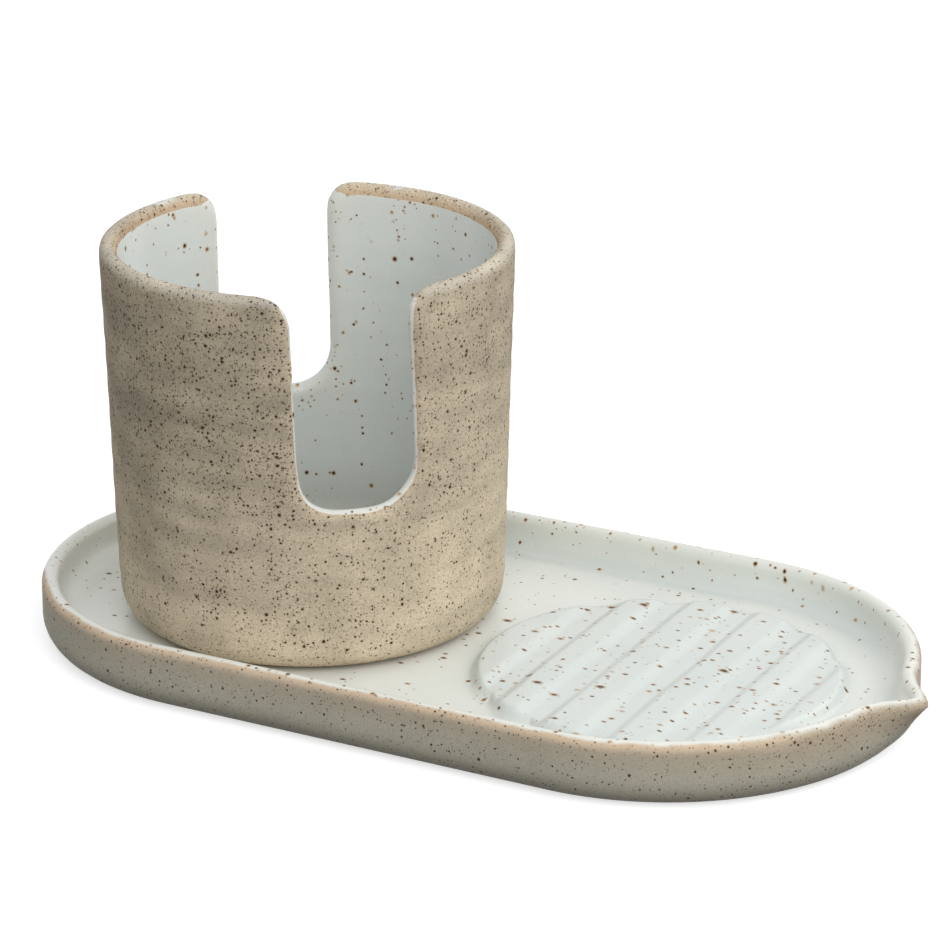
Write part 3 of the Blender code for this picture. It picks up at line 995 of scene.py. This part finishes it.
@dataclass
class DripTray:
    """The tray: an oval dish with a rolled rim, a pulled pouring lip and a pressed, ribbed soap rest.

    The valleys are places across the rest, from its middle. A valley's left slope is long and soft, and its
    right one short.
    """

    middle: float = -0.0040
    half_width: float = 0.0705
    end_spacing: float = 0.0586
    height: float = 0.0187
    wall: float = 0.0050
    floor: float = 0.0080
    heel: float = 0.0080
    cove: float = 0.0060
    foot_ring: float = 0.0090
    foot_recess: float = 0.0015
    foot_slope: float = 0.0015
    lip_reach: float = 0.0080
    lip_dip: float = 0.0010
    lip_half: float = 0.0080
    lip_root: float = 0.0020
    lip_sharpness: float = 1.8
    lip_swell: float = 1.4
    rest_radius: float = 0.0505
    rest_dome: float = 0.0045
    rest_foot: float = 0.0015
    rest_flank: float = 0.0039
    rib_height: float = 0.0032
    rib_half: float = 0.0091
    rib_turn: float = 0.035
    valley_height: float = 0.0023
    valleys: tuple[float, ...] = (-0.0340, -0.0168, 0.0031, 0.0223, 0.0387)
    finish: Finish = TrayFinish()
    piece: bpy.types.Object = field(init=False)
    glazed: np.ndarray = field(init=False)

    def build(self) -> bpy.types.Object:
        """Makes the whole tray, on its body and in its finish.

        Returns:
            The tray.
        """
        self.draw_section()
        self.sweep_round()
        self.mark_rim()
        self.press_rest()
        self.pull_lip()
        self.leave_finger_marks()
        hold(self.piece)
        bpy.ops.object.shade_smooth()
        self.dress()
        return self.piece

    @property
    def rest_x(self) -> float:
        """Place of the soap rest's middle, which is also the middle of the lip end's round."""
        return self.middle + self.end_spacing

    @property
    def wall_top(self) -> float:
        """Height at which the wall starts to roll over."""
        return self.height - self.wall / 2

    def section(self) -> list[Pair]:
        """Draws half of the cross-section.

        Returns:
            Points, each an inset from the outer face and a height, from the underside to the floor.
        """
        roll, top = self.wall / 2, self.wall_top
        foot_inner = self.heel + self.foot_ring
        cove_foot = (self.wall + self.cove, self.floor)
        points = [(self.half_width, self.foot_recess)]
        points += line(points[-1], (foot_inner + self.foot_slope, self.foot_recess), 3)
        points += line(points[-1], (foot_inner, 0.0), 1)
        points += line(points[-1], (self.heel, 0.0), 2)
        points += arc((self.heel, self.heel), (-self.heel, self.heel), -90, 0, 8)
        points += line(points[-1], (0.0, top), 5)
        points += arc((roll, top), (-roll, roll), 0, 180, 12)
        points += line(points[-1], (self.wall, self.floor + self.cove), 2)
        points += arc((self.wall + self.cove, self.floor + self.cove), (self.cove, self.cove), 180, 270, 8)
        points += line(cove_foot, (self.half_width, self.floor), 48)
        return points

    def draw_section(self) -> None:
        """Draws the cross-section point by point, across the +Y side of the lip end's round."""
        section = self.section()
        start = Vector((self.rest_x, self.half_width - section[0][0], section[0][1]))
        bpy.ops.object.select_all(action="DESELECT")
        bpy.ops.mesh.primitive_plane_add(size=MM, location=start)
        self.piece = bpy.context.object
        self.piece.name = self.piece.data.name = "pressed_tray"
        bpy.ops.object.transform_apply(location=True, rotation=True, scale=True)
        with editing(self.piece):
            bpy.ops.mesh.select_mode(type="VERT")
            bpy.ops.mesh.select_all(action="SELECT")
            bpy.ops.mesh.merge(type="CENTER")
            for (inset, level), (next_inset, next_level) in zip(section, section[1:]):
                step = (0.0, inset - next_inset, next_level - level)
                bpy.ops.mesh.extrude_vertices_move(TRANSFORM_OT_translate={"value": step})

    def sweep_round(self) -> None:
        """Sweeps the section once round the oval: a spin at each end and a row of pulls along each side.

        The lip's middle and the straight run beside the soap rest get closer steps than the rest.
        """
        lip_end = ((70, 60), (40, 80), (70, 60))
        plain_end = ((180, 120),)
        beside_rest = self.rest_radius + 1.5 * MM
        side = ((beside_rest, 60), (2 * self.end_spacing - beside_rest, 18))
        with editing(self.piece):
            bpy.ops.mesh.select_mode(type="VERT")
            bpy.ops.mesh.select_all(action="SELECT")
            self.spin_round(lip_end, self.rest_x)
            self.pull_along(side, -1)
            self.spin_round(plain_end, self.middle - self.end_spacing)
            self.pull_along(side[::-1], 1)
            bpy.ops.mesh.select_all(action="SELECT")
            bpy.ops.mesh.remove_doubles(threshold=WELD)
            bpy.ops.mesh.normals_make_consistent(inside=False)
            self.refine_rest()

    def spin_round(self, turns: tuple[tuple[float, int], ...], middle: float) -> None:
        """Spins the selected section about an upright axis.

        Args:
            turns: Degrees and number of steps of each stretch.
            middle: The axis's place along X.
        """
        for degrees, steps in turns:
            angle = math.radians(degrees)
            bpy.ops.mesh.spin(steps=steps, angle=angle, center=(middle, 0.0, 0.0), axis=(0, 0, 1))

    def pull_along(self, runs: tuple[tuple[float, int], ...], way: int) -> None:
        """Extrudes the selected section along X.

        Args:
            runs: Length and number of steps of each stretch.
            way: 1 towards the lip, -1 away from it.
        """
        for length, steps in runs:
            step = (way * length / steps, 0.0, 0.0)
            for _ in range(steps):
                bpy.ops.mesh.extrude_region_move(TRANSFORM_OT_translate={"value": step})

    def refine_rest(self) -> None:
        """Halves the faces of the floor where the soap rest rises."""
        reach, level = self.rest_radius + 2 * MM, self.floor

        def under_rest(face: bmesh.types.BMFace) -> bool:
            """Tells whether a face of the floor lies under the soap rest."""
            middle = face.calc_center_median()
            return abs(middle.z - level) < 0.1 * MM and math.hypot(middle.x - self.rest_x, middle.y) < reach

        bpy.ops.mesh.select_all(action="DESELECT")
        pick(self.piece, Part.FACE, under_rest)
        bpy.ops.mesh.subdivide(number_cuts=1)

    def measure(self, points: np.ndarray) -> tuple[np.ndarray, np.ndarray]:
        """Measures points from the oval's outline.

        Args:
            points: Places, one row each, before the lip is pulled.

        Returns:
            Inset from the outer face, and whether the point is on the inside of the rim.
        """
        beyond = np.maximum(np.abs(points[:, 0] - self.middle) - self.end_spacing, 0.0)
        inset = self.half_width - np.hypot(beyond, points[:, 1])
        inside = (inset > self.wall / 2) & (points[:, 2] > self.floor - 0.1 * MM)
        return inset, inside

    def mark_rim(self) -> None:
        """Marks how far in millimetres each point lies outwards of the rim's top, along the surface.

        The white glaze ends just over the top, but at the plain end it was dipped right over the rim.
        """
        over_top, dipped = 0.8, 6.7
        points = read_points(self.piece)
        inset, inside = self.measure(points)
        roll = self.wall / 2
        below = self.wall_top - points[:, 2]
        turn = np.arctan2(-below, roll - inset)
        rolled = roll * (np.pi / 2 - turn)
        quarter = roll * np.pi / 2
        outer = quarter + below + 0.4 * np.maximum(inset - roll, 0.0)
        run = np.where(below < 0.0, rolled, np.where(inside, -quarter - below, outer)) / MM
        plain_end = smooth_step(points[:, 0], -0.100, -0.131) * smooth_step(points[:, 1], -0.045, -0.005)
        run_here = run - over_top - dipped * plain_end * (run > -2.0)
        # Towards the lip the bare band gets wider, as far as half-way down the wall; its darker clay there is
        # partly painted shade under the lip
        near_lip = bell(points[:, 0] - self.rest_x - self.half_width, 32 * MM)
        wider = np.where(run_here > 0.0, 0.6 * near_lip * smooth_step(run_here, 15.0, 7.0), 0.0)
        run_here = run_here * (1 - wider)
        write_mark(self.piece, Mark.GLAZE_RUN, run_here)
        # At the lip itself the clay is crowded with grit, which darkens it between its grains, and has no
        # peach flush; the darkening is partly painted shade under the lip
        write_mark(self.piece, Mark.CROWDED_AND_SHADED, 0.5 + 0.5 * near_lip**2)
        write_mark(self.piece, Mark.FLUSH, 1.0 - 0.8 * near_lip**2)
        self.glazed = run_here < 0.0
        write_mark(self.piece, Mark.THIN_GLAZE, np.where(inside, bell(run, 8.0), 1.0))

    def press_rest(self) -> None:
        """Raises the soap rest out of the floor: broad flat ribs with soft valleys between, under a dome."""
        wander, rib_arc, blend = 0.5, 1.8, 0.5
        on_rest, at_foot = 0.55, 0.35
        points = read_points(self.piece)
        x = (points[:, 0] - self.rest_x) / MM
        y = points[:, 1] / MM
        reach = np.hypot(x, y)
        # The ribs turn a little as they go back, and their sides wander
        drawn = x + self.rib_turn * y + wander * waver(points * (1.5, 0.6, 0), 16 * MM, 6.1)
        offsets = drawn[:, None] - np.array(self.valleys) / MM
        beside = np.take_along_axis(offsets, np.abs(offsets).argmin(axis=1)[:, None], axis=1)[:, 0]
        sunk = smooth_step(beside, -6.3, -1.3) * smooth_step(beside, 6.2, 3.0)
        crest, trough = self.rib_height / MM, self.valley_height / MM
        foot, flank = self.rest_foot / MM, self.rest_flank / MM
        rib = crest - (crest - trough) * sunk
        # Each rib ends in an arc of its own
        across = np.clip(1 - np.abs(beside) * MM / self.rib_half, 0.0, 1.0)
        edge = self.rest_radius / MM - rib_arc * across**2
        dome = self.rest_dome / MM * smooth_step(reach - edge, foot, foot - flank)
        # The lower of the two, with a round of some tenths where they meet
        rise = np.maximum(0.5 * (rib + dome - np.sqrt((rib - dome) ** 2 + blend**2)), 0.0)
        inset, inside = self.measure(points)
        rise = np.where(inside & (reach < edge + foot), rise, 0.0)
        points[:, 2] += rise * MM
        move_points(self.piece, points)
        write_mark(self.piece, Mark.REST_GLAZE, smooth_step(rise, 0.2, 1.2))
        # Glaze gathers round the rest's foot and is a little deeper on the rest too. The far cove takes the
        # same darker colour of thick glaze, as painted shade in its hollow
        round_foot = bell(reach - edge - foot, 1.4) * inside
        far_side = smooth_step(points[:, 1], 25 * MM, 55 * MM)
        cove_shade = far_side * bell(inset - self.wall - 0.4 * self.cove, 3 * MM) * inside
        pools_and_shade = on_rest * smooth_step(rise, 0.3, 1.5) + at_foot * round_foot + cove_shade
        write_mark(self.piece, Mark.POOLED_GLAZE_AND_SHADE, np.clip(pools_and_shade, 0.0, 1.0))

    def pull_lip(self) -> None:
        """Pulls the rim out and down to a pouring lip, by the frame's own law."""
        points = read_points(self.piece)
        inset, inside = self.measure(points)
        root = np.where(inside, self.floor, self.lip_root)
        share = np.clip((points[:, 2] - root) / (self.wall_top - root), 0.0, 1.0)
        # The soap rest stays as it is
        share = np.where(inset > self.wall + self.cove, 0.0, share)
        pull = share**self.lip_swell * np.exp(-((np.abs(points[:, 1]) / self.lip_half) ** self.lip_sharpness))
        pull = np.where(points[:, 0] > self.rest_x, pull, 0.0)
        points[:, 0] += self.lip_reach * pull
        points[:, 2] -= self.lip_dip * pull
        move_points(self.piece, points)

    def leave_finger_marks(self) -> None:
        """Moves the rim and wall in and down by a little, unevenly, as sponging leaves them."""
        most_in, most_down = 0.15 * MM, 0.12 * MM
        points = read_points(self.piece)
        share = smooth_step(points[:, 2], 3 * MM, self.height)
        inset, _ = self.measure(points)
        wall = smooth_step(inset, self.wall + self.cove, 0.0) * share
        inward = most_in * (0.5 + 0.5 * waver(points, 30 * MM, 4.4)) * wall
        along = points[:, 0] - self.middle
        out_x = np.sign(along) * np.maximum(np.abs(along) - self.end_spacing, 0.0)
        out_y = points[:, 1].copy()
        length = np.maximum(np.hypot(out_x, out_y), MM)
        points[:, 0] -= inward * out_x / length
        points[:, 1] -= inward * out_y / length
        points[:, 2] -= most_down * (0.5 + 0.5 * waver(points * (1, 1, 0), 26 * MM, 7.2)) * wall
        move_points(self.piece, points)

    def dress(self) -> None:
        """Puts the finish on and tells the frame what the piece is."""
        paint(self.piece, self.finish, self.glazed)
        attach(self.piece, Body.TRAY.value)
        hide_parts(Node.TRAY.value)


@dataclass(frozen=True)
class Softbox:
    """A large square lamp at some distance from the caddy.

    The bearing is counted from the camera's side, towards the viewer's right, and the lift from level.
    """

    name: str
    bearing: float
    lift: float
    distance: float
    size: float
    power: float


def towards(bearing: float, lift: float) -> Vector:
    """Points from the caddy towards a bearing, counted from -Y towards +X, and a lift over level."""
    level = math.cos(lift)
    return Vector((math.sin(bearing) * level, -math.cos(bearing) * level, math.sin(lift)))


@dataclass
class Studio:
    """A pale table, a white room, soft lamps and the camera.

    The camera's place was fitted to the photograph, and its focal length is in pixels of that frame.
    """

    aim: Vector = field(default_factory=lambda: Vector((-0.004, 0.0, 0.03)))
    camera_turn: float = math.radians(29.041)
    camera_lift: float = math.radians(20.209)
    camera_roll: float = math.radians(-0.15479)
    camera_distance: float = 1.1727
    camera_right: float = 0.001062
    camera_up: float = 0.052687
    camera_origin: float = -0.004
    focal_length: float = 4205.6
    frame_width: int = 950
    sensor: float = 36.0
    room_light: float = 0.65
    table_size: float = 12.0
    table_grey: float = 0.62
    lamps: tuple[Softbox, ...] = (
        Softbox("front", bearing=15, lift=35, distance=1.5, size=1.2, power=13.4),
        Softbox("side", bearing=105, lift=35, distance=1.5, size=1.2, power=6.0),
    )

    def build(self) -> None:
        """Sets the whole studio up."""
        self.lay_table()
        self.paint_room()
        for lamp in self.lamps:
            self.hang(lamp)
        self.place_camera()
        bpy.context.scene.view_settings.view_transform = "Standard"

    def seen_rays(self, recipe: Recipe) -> Feed:
        """Adds a switch between what is seen and what lights.

        Args:
            recipe: The tree of the table's material or of the room.

        Returns:
            1 for rays from the camera, off a gloss or through glass, and 0 for rays that light.
        """
        rays = recipe.add("LightPath").outputs
        gloss = {0: rays["Is Glossy Ray"], 1: rays["Is Transmission Ray"]}
        mirrored = recipe.add("Math", {"operation": "MAXIMUM"}, gloss)
        return recipe.add("Math", {"operation": "MAXIMUM"}, {0: rays["Is Camera Ray"], 1: mirrored})

    def lay_table(self) -> None:
        """Lays the table, a flat sheet far wider than the view, just under the tray's foot.

        It is white to look at, apart from the caddy's shadow, and dark to what it would light.
        """
        grey = (self.table_grey, self.table_grey, self.table_grey, 1.0)
        bpy.ops.object.select_all(action="DESELECT")
        bpy.ops.mesh.primitive_grid_add(
            x_subdivisions=4, y_subdivisions=4, size=self.table_size, location=(0, 0, -0.1 * MM)
        )
        table = bpy.context.object
        table.name = "table"
        material, recipe = new_material("pale_table")
        lit = recipe.add("BsdfDiffuse", {"Color": (0.02, 0.02, 0.02, 1.0)})
        sheet = recipe.add("BsdfDiffuse", {"Color": grey})
        glow = recipe.add("Emission", {"Color": (1.0, 1.0, 1.0, 1.0), "Strength": self.table_grey})
        white = recipe.add("AddShader", links={0: sheet, 1: glow})
        surface = recipe.add("MixShader", links={0: self.seen_rays(recipe), 1: lit, 2: white})
        recipe.add("OutputMaterial", links={"Surface": surface})
        table.data.materials.append(material)

    def paint_room(self) -> None:
        """Makes the room white to look at, and a softer light than that."""
        world = bpy.data.worlds.new("white_room")
        bpy.context.scene.world = world
        world.use_nodes = True
        recipe = Recipe(world.node_tree)
        soft = recipe.add("Background", {"Color": (0.97, 0.99, 1.0, 1.0), "Strength": self.room_light})
        white = recipe.add("Background", {"Color": (1.0, 1.0, 1.0, 1.0)})
        choice = recipe.add("MixShader", links={0: self.seen_rays(recipe), 1: soft, 2: white})
        recipe.add("OutputWorld", links={"Surface": choice})

    def hang(self, lamp: Softbox) -> None:
        """Hangs one softbox, turned to the caddy.

        Args:
            lamp: The softbox.
        """
        light = bpy.data.lights.new(lamp.name, "AREA")
        light.shape = "SQUARE"
        light.size = lamp.size
        light.energy = lamp.power
        away = towards(self.camera_turn + math.radians(lamp.bearing), math.radians(lamp.lift))
        holder = bpy.data.objects.new(lamp.name, light)
        holder.location = self.aim + away * lamp.distance
        holder.rotation_euler = away.to_track_quat("Z", "Y").to_euler()
        bpy.context.scene.collection.objects.link(holder)

    def place_camera(self) -> None:
        """Puts the camera where the photograph's was, as fitted to the cup's and tray's outlines."""
        turn, roll = self.camera_turn, self.camera_roll
        back = towards(turn, self.camera_lift)
        right = Vector((math.cos(turn), math.sin(turn), 0.0))
        up = back.cross(right)
        rolled_right = right * math.cos(roll) + up * math.sin(roll)
        rolled_up = up * math.cos(roll) - right * math.sin(roll)
        eye = back * self.camera_distance + right * self.camera_right + up * self.camera_up
        eye.x += self.camera_origin
        lens = bpy.data.cameras.new("camera")
        lens.sensor_width = self.sensor
        lens.lens = self.focal_length * self.sensor / self.frame_width
        lens.clip_start = 0.05
        lens.clip_end = 30.0
        camera = bpy.data.objects.new("camera", lens)
        axes = Matrix((rolled_right, rolled_up, back)).transposed().to_4x4()
        camera.matrix_world = Matrix.Translation(eye) @ axes
        bpy.context.scene.collection.objects.link(camera)
        bpy.context.scene.camera = camera


def report(piece: bpy.types.Object) -> None:
    """Logs a piece's name, size and number of triangles.

    Args:
        piece: The piece.
    """
    points = read_points(piece)
    size = (points.max(axis=0) - points.min(axis=0)) / MM
    triangles = sum(len(polygon.vertices) - 2 for polygon in piece.data.polygons)
    LOG.info("%s: %.1f x %.1f x %.1f mm, %d triangles", piece.name, *size, triangles)


def main() -> None:
    """Builds the tray, the cup and the studio, in that order."""
    logging.basicConfig(level=logging.INFO, format="%(name)s: %(message)s")
    for made in (DripTray(), SpongeCup()):
        report(made.build())
    Studio().build()


if __name__ == "__main__":
    main()
